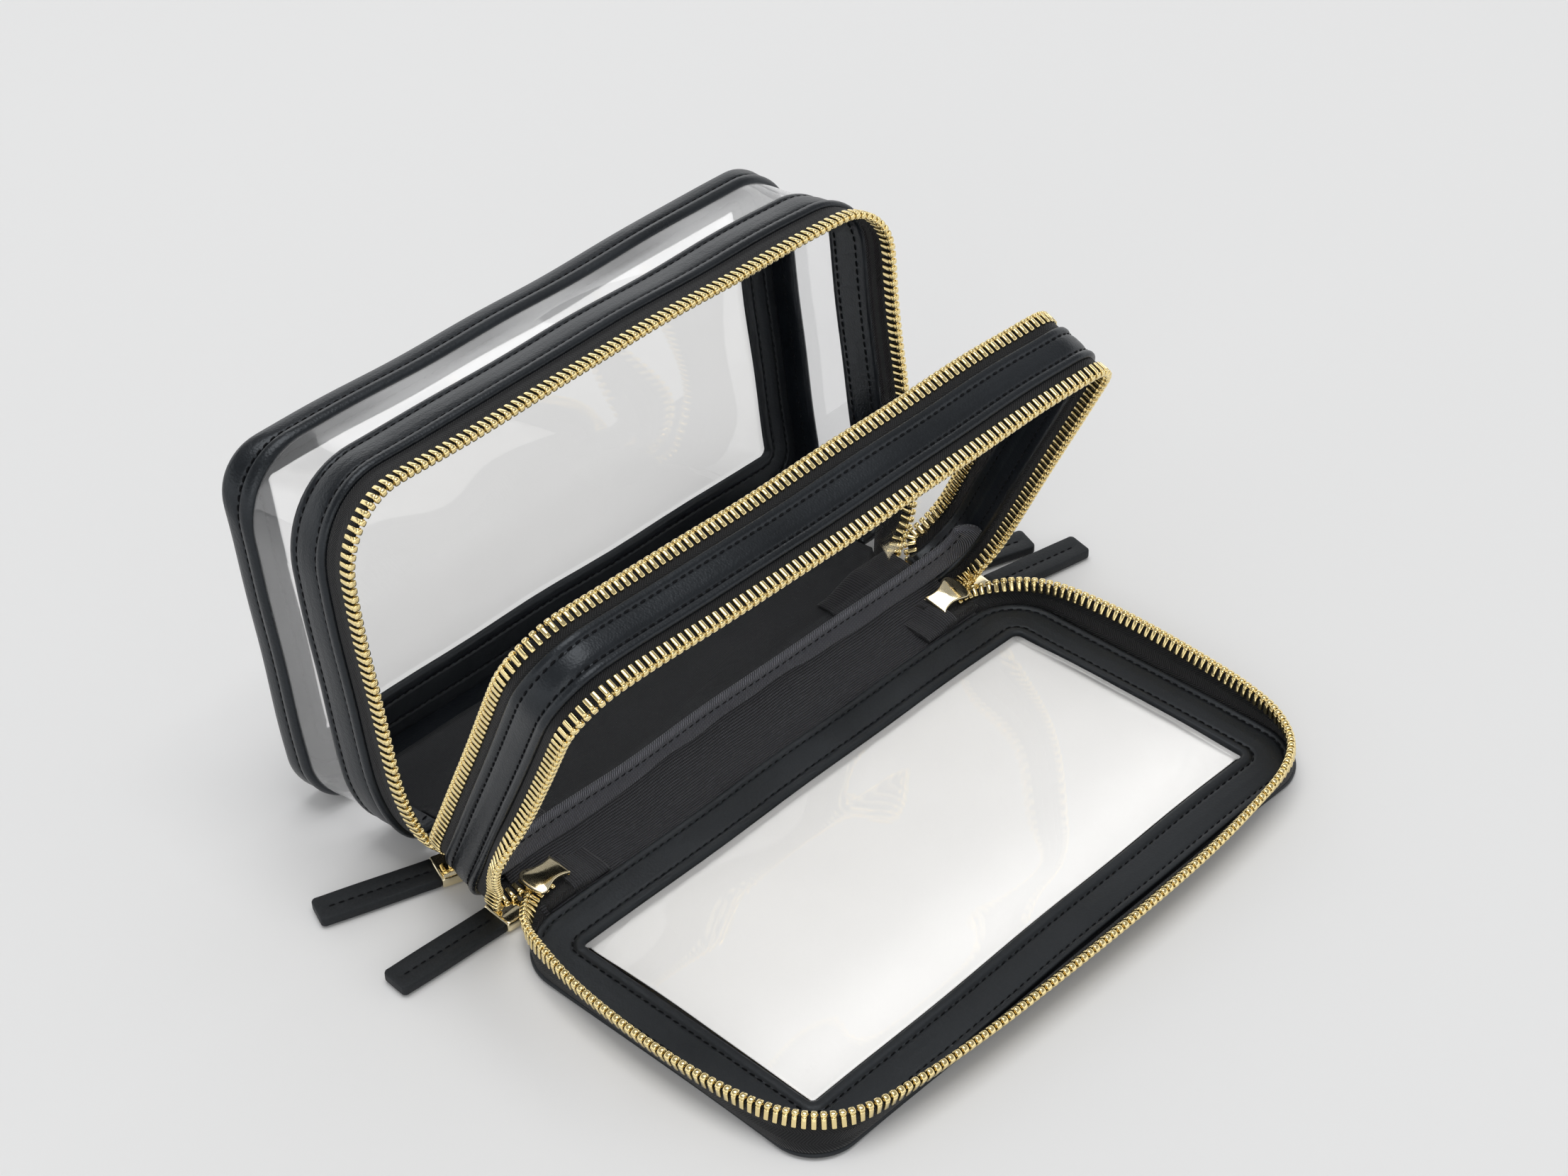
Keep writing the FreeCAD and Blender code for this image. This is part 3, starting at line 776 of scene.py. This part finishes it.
def zip_side(name, root, edge, body, tape_nodes, teeth_nodes, blend=None, bow=0.0):
    """Zip tape from a root line to an edge line, both settled, and the teeth along its edge."""
    n = int(lengths(edge)[-1] / 2.0)
    root = even(root, n)
    edge = even(edge, n)
    ahead = unit(np.gradient(edge, axis=0))
    reach = edge - root
    reach = unit(reach - (reach * ahead).sum(axis=1)[:, None] * ahead)
    out = np.cross(ahead, reach)
    rows = []
    for side, fractions in ((TAPE_HALF, np.linspace(0, 1, 8)), (-TAPE_HALF, np.linspace(1, 0, 8))):
        for f in fractions:
            rows.append(root + (edge - root) * f + out * (side + bow * math.sin(math.pi * f)))
    tape = skin(name + "_tape", np.array(rows), around=True, caps=True, settle=False)
    finish_piece(tape, TAPE, "black_fabric", body, *tape_nodes, blend=blend)
    total = lengths(edge)
    where = np.arange(NO_TEETH, total[-1] - NO_TEETH, TOOTH_PITCH)
    origin = at_lengths(edge, where)
    x, z = (np.column_stack([np.interp(where, total, a[:, k]) for k in range(3)]) for a in (ahead, reach))
    x = unit(x)
    z = unit(z - (z * x).sum(axis=1)[:, None] * x)
    points, faces = tooth_shape()
    teeth = stamped(name + "_teeth", points, faces, (origin + z * 0.2, x, np.cross(z, x), z))
    finish_piece(teeth, GOLD, "gold_metal", body, *teeth_nodes, blend=blend)


LEAN = {"front_left": (0.02, -0.10, 1), "front_right": (-0.19, -0.17, 1)}     # which way a slider's face leans
ZIP_ENDS = {}
for zip_end in ("rear_left", "rear_right", "front_left", "front_right"):
    low, high = node_box("slider_" + zip_end)
    side = 1 if low[0] > 0 else -1
    outer = high[0] if side > 0 else low[0]
    strap = node_points("pull_strap_" + zip_end).mean(axis=0)
    middle = np.array([outer - side * SLIDER_HALF, (low[1] + high[1]) / 2, 0.0])
    ZIP_ENDS[zip_end] = (side, middle, unit((strap - middle) * [1, 1, 0]))


def tail(zip_end, *offsets):
    """Points of a zip line at a slider; each offset is (distance outwards, towards +Y, height)."""
    side, middle, _ = ZIP_ENDS[zip_end]
    return [middle + [side * x, y, z] for x, y, z in offsets]


def rim_path(panel, shape, y, d, zip_name, offsets, skip=10, shift=None):
    """Settled line round a rim that runs into the sliders at both of its ends."""
    line, out = rim_line(panel, shape, y, d)
    if shift is not None:
        line = line + shift(line, out)
    body = soft(line[skip:len(line) - skip])
    path = tail(zip_name + "_left", *offsets) + list(body[::2]) + tail(zip_name + "_right", *offsets)[::-1]
    return spline(path, 500)


def curl(line, out):
    """Bulge and curl of the divider's front zip near its lower left corner."""
    height = (line - divider.origin) @ divider.z
    left = line[:, 0] < -80
    push = 4.0 * np.exp(-((height - 40) / 14) ** 2) - 2.5 * np.exp(-((height - 16) / 8) ** 2)
    return out * (push * left)[:, None]


def tub_and_divider_zips():
    rear = rim_path(tub, TUB, -43.0, -TAPE_IN, "rear", [(-9, 8.6, 3.6), (-3, 8.6, 3.8), (6, 9.4, 4.0)])
    edge = rim_path(tub, TUB, -53.5, -TAPE_IN, "rear", [(-9, 1.5, 5.1), (-3, 1.5, 5.1), (6, 1.9, 5.1),
                                                        (10.5, 4.2, 5.9)])
    zip_side("tub", rear, edge, "tub", ["tub_tape"], ["tub_teeth"])
    rear = rim_path(divider, DIVIDER, 5.0, -TAPE_IN, "rear", [(-9, -8.0, 4.4), (-3, -8.0, 4.4), (6, -8.0, 4.6)])
    edge = rim_path(divider, DIVIDER, 11.6, -TAPE_IN, "rear",
                    [(-9, -1.5, 5.1), (-3, -1.5, 5.1), (6, -1.8, 5.1), (10.5, -2.5, 7.5)])
    zip_side("divider_rear", rear, edge, "tub", ["divider_rear_tape"], ["divider_rear_teeth"],
             blend=("divider", (0, -30, 4), (0, -28, 14)))
    front = rim_path(divider, DIVIDER, -5.0, -TAPE_IN, "front", [(-9, 9.0, 4.4), (-3, 8.6, 4.4), (6, 8.6, 4.4)])
    edge = rim_path(divider, DIVIDER, -11.6, -TAPE_IN, "front",
                    [(-9, 1.5, 5.1), (-3, 1.5, 5.1), (6, 1.8, 4.9), (10.5, 2.4, 3.9), (14.5, 3.2, 3.3)], skip=15,
                    shift=curl)
    zip_side("divider_front", front, edge, "divider", ["divider_front_tape"], ["divider_front_teeth"])


LID_CHAIN = [(-99, -63, 8.4), (-103.5, -76, 10.2), (-106.2, -92, 10.4), (-107.5, -112, 10.4), (-107.5, -130, 10.3),
             (-106, -146, 10.2), (-102.5, -160, 10.3), (-96, -170, 10.4), (-86, -175.8, 10.4), (-70, -178.6, 10.2),
             (-45, -180.5, 10.0), (-15, -182, 9.8), (15, -182.4, 9.8), (45, -181.5, 10.0), (70, -179.4, 10.2),
             (86, -176.4, 10.4), (97, -170.5, 10.4), (104, -160, 10.4), (107.5, -146, 10.3), (109.5, -130, 10.2),
             (111, -110, 10.2), (110.6, -92, 10.3), (107.8, -75, 10.2), (102.5, -63.5, 8.8)]


def lid_zip():
    inset = 0.5
    points, _ = outline(HALF - inset, inset, HEIGHT - inset, LID_FACE[1], 88)
    frame_edge = lid.place(at_depth(points, 1.9))[3:-3]
    offsets = [(-9, -8.6, 3.4), (-3, -8.4, 3.6), (6, -8.6, 3.4)]
    root = tail("front_left", *offsets) + list(frame_edge[::2]) + tail("front_right", *offsets)[::-1]
    offsets = [(-9, -1.5, 5.1), (-3, -1.5, 5.1), (6, -1.9, 5.1), (10.5, -4.4, 5.8)]
    edge = tail("front_left", *offsets) + [np.array(p, float) for p in LID_CHAIN]
    edge += tail("front_right", *offsets)[::-1]
    zip_side("lid", spline(root, 500), spline(soft(np.array(edge)), 500), "divider", ["lid_tape"], ["lid_teeth"],
             blend=("lid", (0, -52, 0), (0, -62, 0)), bow=0.3)


# ---- leather, clear sheets, cloth
def make_leather_and_sheets():
    for name, body, panel, shape, section, end in (
            ("rear", "tub", tub, TUB, REAR_SECTION, None),
            ("front", "tub", tub, TUB, FRONT_SECTION, RIM_END),
            ("divider", "divider", divider, DIVIDER, DIVIDER_SECTION, RIM_END)):
        band = rim_band(name + "_leather_band", panel, shape, section, end=end)
        finish_piece(band, BAND, "black_leather", body, name + "_band", name + "_piping")
    strip = skin("gusset_sheet", gusset_grid(), around=True, caps=True)
    finish_piece(strip, CLEAR_STRIP, "clear_sheet", "tub", "gusset")

    for name, body, panel, face, section, corner, z in (
            ("back", "tub", tub, BACK_FACE, BACK_SECTION, 2.0, BACK_WINDOW_Z),
            ("lid", "lid", lid, LID_FACE, LID_SECTION, 1.8, LID_WINDOW_Z)):
        border = window_frame(name + "_leather_frame", panel, face, section, corner, z)
        finish_piece(border, FRAME, "black_leather", body, name + "_frame", name + "_window_piping")
    sheet = pane("back_clear_window", tub, -1.5, window_columns(BACK_WINDOW_Z), seed=0.7)
    finish_piece(sheet, CLEAR, "clear_sheet", "tub", "back_window")
    sheet = pane("lid_clear_window", lid, 1.9, window_columns(LID_WINDOW_Z), swell=1.0, seed=2.1)
    finish_piece(sheet, CLEAR, "clear_sheet", "lid", "lid_window")
    sheet = pane("divider_clear_sheet", divider, 0.0, divider_columns(), swell=1.0, seed=1.2)
    finish_piece(sheet, CLEAR_PANE, "clear_sheet", "divider", "divider_pane")

    stitches("tub_stitches", [rim_line(tub, TUB, -7.3, -0.05, None), rim_line(tub, TUB, -31.3, -0.05),
                              rim_line(tub, TUB, -39.9, -0.05), inner_line(tub, TUB, -31.3),
                              inner_line(tub, TUB, -39.9), inner_line(tub, TUB, -7.3)]
             + frame_stitches(tub, BACK_FACE, [(-2.75, -1), (0.2, 1)], BACK_WINDOW_Z, 2.0, (0.335, 0.755)), "tub")
    stitches("divider_stitches", [rim_line(divider, DIVIDER, 3.3, 0.0), rim_line(divider, DIVIDER, -3.3, 0.0),
                                 inner_line(divider, DIVIDER, 3.3), inner_line(divider, DIVIDER, -3.3)],
             "divider")
    stitches("lid_stitches", frame_stitches(lid, LID_FACE, [(3.1, 1), (0.35, -1)], LID_WINDOW_Z, 1.8,
                                            (0.215, 0.775)), "lid")


def inner_line(panel, shape, y):
    """Stitch line on the inner face of a band."""
    line, out = rim_line(panel, shape, y, -SKIN - 0.25)
    return line, -out


def frame_stitches(panel, face, sides, window_z, corner, fractions):
    """Stitch lines on both faces of a window frame; sides are (y, which way it faces)."""
    lines = []
    for y, facing in sides:
        for f in fractions:
            line = frame_line(panel, face, f, y, corner, window_z)
            lines.append((line, np.tile(panel.y * facing, (len(line), 1))))
    return lines


def sheet_object(name, path, half, lift=None, thickness=0.8, columns=60):
    """Cloth whose lengthwise section is the path of (y, z), across x from -half to half."""
    curve = spline([(0, y, z) for y, z in path], 34)
    grid = []
    for _, y, z in curve:
        xs = np.linspace(-half, half, columns)
        rise = lift(xs, y, z) if lift else 0 * xs
        grid.append(np.column_stack([xs, np.full(columns, y), z + rise]))
    return thicken(skin(name, np.array(grid)), thickness)


def make_cloth():
    def lift(xs, y, z):
        rise = (TUB_REAR - y) * math.tan(math.radians(TUB_SLOPE)) + 1.6 - z
        ripple = 0.25 * np.sin(xs / 9 + y / 14) * step((70 - np.abs(xs)) / 20)
        at_band = step((np.abs(xs) - 80) / 8) * step(-y / 6)
        at_foot = np.maximum(3.4 - z, 0) * step((np.abs(xs) - 70) / 6)
        return np.where(y > -19, rise * at_band, at_foot) + ripple

    path = [(20, 4.0), (16, 2.5), (11, 1.9), (0, 1.8), (-16, 1.8), (-30, 1.9), (-34.5, 2.8), (-38.0, 5.4),
            (-40.6, 8.5)]
    cover = sheet_object("base_cloth_cover", path, 86.8, lift)
    finish_piece(cover, LINING, "black_fabric", "tub", "base_lining", blend=("divider", (0, -31, 2), (0, -37, 6)))

    def sag(xs, y, z):
        across = 0.3 * np.sin(xs / 8.5 + y / 6) + 0.2 * np.sin(xs / 3.9 - y / 5)
        up = np.maximum(3.5 - z, 0) * step((np.abs(xs) - 66) / 10)
        return (across + up) * step((y + 61) / 4) * step((-y - 39) / 5)

    path = [(-41.6, 10.5), (-42.8, 7.6), (-46.0, 4.9), (-50.5, 3.1), (-55, 2.1), (-59, 1.7), (-62.5, 1.7)]
    spine = sheet_object("spine_cloth", path, 89.0, sag)
    finish_piece(spine, RIBBED, "black_fabric", "divider", "spine_strip", blend=("lid", (0, -47, 0), (0, -60, 0)))
    make_binding()
    for zip_end, body in (("rear_left", "tub"), ("rear_right", "tub"), ("front_left", "divider"),
                          ("front_right", "divider")):
        make_patch(zip_end, body)
    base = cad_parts["base_panel"]
    base.data.materials.clear()
    base.data.materials.append(LINING)


def make_binding():
    """Folded tape round the lower edge of the divider's sheet: it sags, and curves up at both ends."""
    section = smooth_section([(-1.6, -3.0), (-1.2, -3.8), (0, -4.1), (1.2, -3.8), (1.6, -3.0), (1.55, 0),
                              (1.35, 2.9),
                              (0.95, 3.5), (0.4, 3.6), (-0.4, 3.6), (-0.95, 3.5), (-1.35, 2.9), (-1.55, 0)], 30)
    path = spline([(-98.5, 0, 19.0), (-97.8, 0, 13.5), (-93.5, 0, 9.4), (-84, 0, 7.9), (-60, 0, 7.2), (-20, 0, 6.5),
                   (25, 0, 6.5), (62, 0, 7.2), (84, 0, 7.9), (93.5, 0, 9.4), (97.8, 0, 13.5), (98.5, 0, 19.0)], 120)

    def flare(z):
        return 0.16 * (3.8 - z) ** 1.6

    ahead = unit(np.gradient(path, axis=0))
    across = across_of(ahead)
    rows = [divider.place(path + across * z + [0, y - flare(z), 0]) for y, z in section]
    binding = skin("divider_cloth_binding", np.array(rows), around=True, caps=True)
    finish_piece(binding, BINDING, "black_fabric", "divider", "divider_binding")
    lines = []
    for side in (-1, 1):
        line = divider.place(path + across * 2.0 + [0, side * 1.45 - flare(2.0), 0])
        lines.append((line, np.tile(divider.y * side, (len(line), 1))))
    stitches("binding_stitches", lines, "divider")


PATCHES = {             # first end and length along x, height, and where along it falls and how far
    "rear": (7.2, 27.0, 7.6, 0.45, 0.9),
    "front": (-4.0, 13.0, 2.6, 0.2, 0.6),
}


def make_patch(zip_end, body):
    """Ribbed cloth sewn over the ends of the two tapes; at the rear it covers the slider as well."""
    side, middle, _ = ZIP_ENDS[zip_end]
    hood = "rear" in zip_end
    start, length, high, level, drop = PATCHES["rear" if hood else "front"]
    rows = []
    for k in np.linspace(0, 1, 22):
        x = middle[0] + side * (start - length * k)
        row = []
        for t in np.linspace(-1, 1, 22):
            round_off = math.sqrt(max(0.0, 1 - abs(t) ** 4))
            fall = 1 - float(step((k - level) / 0.55)) * drop
            row.append((x, middle[1] + 8.2 * t, 2.6 + high * fall * round_off))
        rows.append(row)
    patch = thicken(skin("cloth_patch_" + zip_end, np.array(rows)), 0.9)
    nodes = ["rear_end_patches" if hood else "front_end_patches"] if side < 0 else []
    finish_piece(patch, RIBBED, "black_fabric", body, *nodes)


# ---- sliders and pulls
def plate_outline():
    """Outline of a slider plate, with a straight inner end, hollow flanks and a rounded outer end."""
    flank = spline([(-5.5, 4.3, 0), (-4.6, 3.9, 0), (-2.6, 3.45, 0), (-0.4, 3.5, 0), (1.8, 4.3, 0), (3.4, 5.0, 0),
                    (4.6, 5.05, 0), (5.6, 4.3, 0), (6.3, 2.5, 0), (6.55, 0.0, 0)], 30)[:, :2]
    inner = np.column_stack([np.full(6, -5.55), np.linspace(0, 4.2, 6)])
    half = np.vstack([inner, flank])
    return np.vstack([half, (half * [1, -1])[-2:0:-1]])


def plate(z0, z1, low_crown, high_crown, bend):
    """Plate with rounded edges, slightly swollen faces and its outer end bent down by bend."""
    flat = plate_outline()
    ahead = unit(np.roll(flat, -1, axis=0) - np.roll(flat, 1, axis=0))
    inward = np.column_stack([ahead[:, 1], -ahead[:, 0]])
    if (inward * flat).sum() > 0:
        inward = -inward
    edge = [(0.32, 0.0), (0.16, 0.05), (0.05, 0.16), (0.0, 0.32)]
    core = flat + inward * 0.32
    shares = (0.06, 0.3, 0.55, 0.75, 0.9)
    rings = [(core * k, z0, -low_crown) for k in shares]
    rings += [(flat + inward * inset, z0 + rise, -low_crown) for inset, rise in edge]
    rings += [(flat + inward * inset, z1 - rise, high_crown) for inset, rise in edge[::-1]]
    rings += [(core * k, z1, high_crown) for k in shares[::-1]]
    found = []
    for ring, z, crown in rings:
        x, y = ring[:, 0], ring[:, 1]
        swell = crown * np.clip(1 - (x / 8) ** 2, 0, 1) * np.clip(1 - (y / 6.5) ** 2, 0, 1)
        drop = bend * np.clip((x - 2.6) / 3.9, 0, 1) ** 2
        found.append(np.column_stack([ring, z + swell - drop]))
    return loft(found)


def bar(path, width, thick):
    """Flat bar along a path of (x, z), with softened edges."""
    curve = spline([(x, 0, z) for x, z in path], 30)
    ahead = unit(np.gradient(curve, axis=0))
    across = across_of(ahead)
    w = width / 2
    t = thick / 2
    section = [(-w, -t + 0.2), (-w + 0.2, -t), (w - 0.2, -t), (w, -t + 0.2), (w, t - 0.2), (w - 0.2, t),
               (0.2 - w, t), (-w, t - 0.2)]
    return loft([[c + [0, y, 0] + a * z for y, z in section] for c, a in zip(curve, across)])


def slider_shape():
    lower = plate(2.75, 3.9, 0.05, 0.0, -0.3)
    upper = plate(6.4, 7.4, 0.0, 0.45, 0.7)
    post = loft([[(3.2 + 1.3 * math.cos(a), 0.9 * math.sin(a), z) for a in np.linspace(0, 2 * math.pi, 14)[:-1]]
                 for z in (3.5, 7.0)])
    bridge = bar([(-3.0, 3.2), (-2.95, 1.3), (-2.2, 0.7), (0, 0.65), (2.2, 0.7), (2.95, 1.3), (3.0, 3.2)], 2.4, 0.8)
    return joined(lower, upper, post, bridge)


def ring_shape():
    """Round wire bent to a rounded rectangle."""
    flat, _ = outline(3.85, 0.0, 9.0, [(2.2, 2.2)] * 4)
    path = np.column_stack([flat[:, 1], flat[:, 0], np.full(len(flat), 1.95)])
    ahead = unit(np.roll(path, -1, axis=0) - np.roll(path, 1, axis=0))
    across = np.cross(ahead, [0, 0, 1.0])
    rings = [[p + 0.56 * (math.cos(t) * a + math.sin(t) * np.array([0, 0, 1.0]))
              for t in np.linspace(0, 2 * math.pi, 11)[:-1]] for p, a in zip(path, across)]
    return loft(rings + [rings[0]], ends=False)


def clamp_shape():
    """Metal folded round the ring's far bar and the strap's end: a flat box with soft edges."""
    section = np.array([(17.5, 3.1), (17.1, 3.45), (14.0, 3.45), (10.9, 3.45), (10.0, 3.2), (9.6, 2.6), (9.5, 1.8),
                        (9.6, 1.0), (10.0, 0.45), (10.9, 0.2), (14.0, 0.15), (17.1, 0.2), (17.5, 0.5)])
    section = even(np.vstack([section, section[:1]]), 49)[:-1]
    centre = np.array([13.5, 1.82])
    rings = []
    for y, shrink in ((-5.3, 0.30), (-5.25, 0.22), (-5.1, 0.08), (-4.85, 0.0), (4.85, 0.0), (5.1, 0.08),
                      (5.25, 0.22),
                      (5.3, 0.30)):
        ring = centre + (section - centre) * [1 - shrink / 4.0, 1 - shrink / 1.7]
        rings.append([(x, y, z) for x, z in ring])
    return loft(rings)


def strap_shape():
    """Thick leather strap, its edges painted round, with a sewn channel along the middle."""
    rings = []
    for x, w, t in [(12.8, 4.3, 1.9), (17.3, 4.3, 1.9), (17.45, 4.6, 2.6), (17.8, 4.8, 3.0)] \
            + [(x, 4.8 + 0.06 * math.sin(x / 5), 3.0) for x in np.linspace(19, 50.4, 20)] \
            + [(51.3, 4.8, 3.0), (51.8, 4.6, 3.0), (52.2, 4.25, 2.95), (52.42, 3.95, 2.75), (52.5, 3.7, 2.4)]:
        h = t / 2
        dip = 1.0 - step((x - 48.5) / 2.5)
        top = [(-w, 0.1 * h), (-w + 0.04, 0.7 * h), (-w + 0.2, 0.93 * h), (-w + 0.5, h), (-2.4, h - 0.1 * dip),
               (-0.8, h - 0.2 * dip), (-0.35, h - 0.36 * dip), (0, h - 0.42 * dip), (0.35, h - 0.36 * dip),
               (0.8, h - 0.2 * dip), (2.4, h - 0.1 * dip), (w - 0.5, h), (w - 0.2, 0.93 * h), (w - 0.04, 0.7 * h),
               (w, 0.1 * h)]
        under = [(y, -z) for y, z in top[::-1] if abs(y) > 0.9]
        rings.append([(x, y, 1.86 + z) for y, z in top + under])
    return loft(rings)


def make_zip_ends():
    for zip_end, (side, middle, along) in ZIP_ENDS.items():
        across = np.array([-along[1], along[0], 0.0])
        up = np.array([[0.0, 0.0, 1.0]])
        origin = middle[None, :]
        face = unit(np.array([LEAN.get(zip_end, (0, 0.08, 1))], float))
        length = unit(np.array([[side, 0.0, 0.0]]) - side * face[:, :1] * face)
        pivot = origin + 5.0 * (up - face)
        at_slider = (pivot, length, np.cross(face, length), face)
        at_pull = (origin, along[None, :], across[None, :], up)
        pieces = [("zip_slider_", slider_shape(), at_slider, MIRROR_GOLD, "gold_metal", "slider_"),
                  ("wire_ring_", ring_shape(), at_pull, MIRROR_GOLD, "gold_metal", "pull_ring_"),
                  ("folded_clamp_", clamp_shape(), at_pull, MIRROR_GOLD, "gold_metal", "pull_clamp_"),
                  ("leather_strap_", strap_shape(), at_pull, STRAP, "black_leather", "pull_strap_")]
        for name, (points, faces), places, material, slot, node in pieces:
            made = stamped(name + zip_end, points, faces, places)
            body = "slider_" + zip_end if node == "slider_" else "pull_" + zip_end
            finish_piece(made, material, slot, body, node + zip_end)
            if node != "pull_strap_":
                sharpen(made)
        line = np.array([[x, 0, 3.1] for x in np.linspace(19.0, 49.5, 40)])
        line = middle + line[:, 0:1] * along + line[:, 2:3] * up
        places = stitch_places(line, np.tile(up, (len(line), 1)), skew=0.0)
        points, faces = stitch_shape()
        made = stamped("strap_stitches_" + zip_end, np.array(points) * [0.9, 1.0, 0.8], faces, places)
        finish_piece(made, THREAD, "black_fabric", "pull_" + zip_end)


def sharpen(made, angle=40):
    """Edges over this angle stay crisp."""
    shape = bmesh.new()
    shape.from_mesh(made.data)
    for edge in shape.edges:
        edge.smooth = edge.calc_face_angle(0.0) < math.radians(angle)
    shape.to_mesh(made.data)
    shape.free()


make_leather_and_sheets()
make_cloth()
tub_and_divider_zips()
lid_zip()
make_zip_ends()
make_stage()
make_camera()
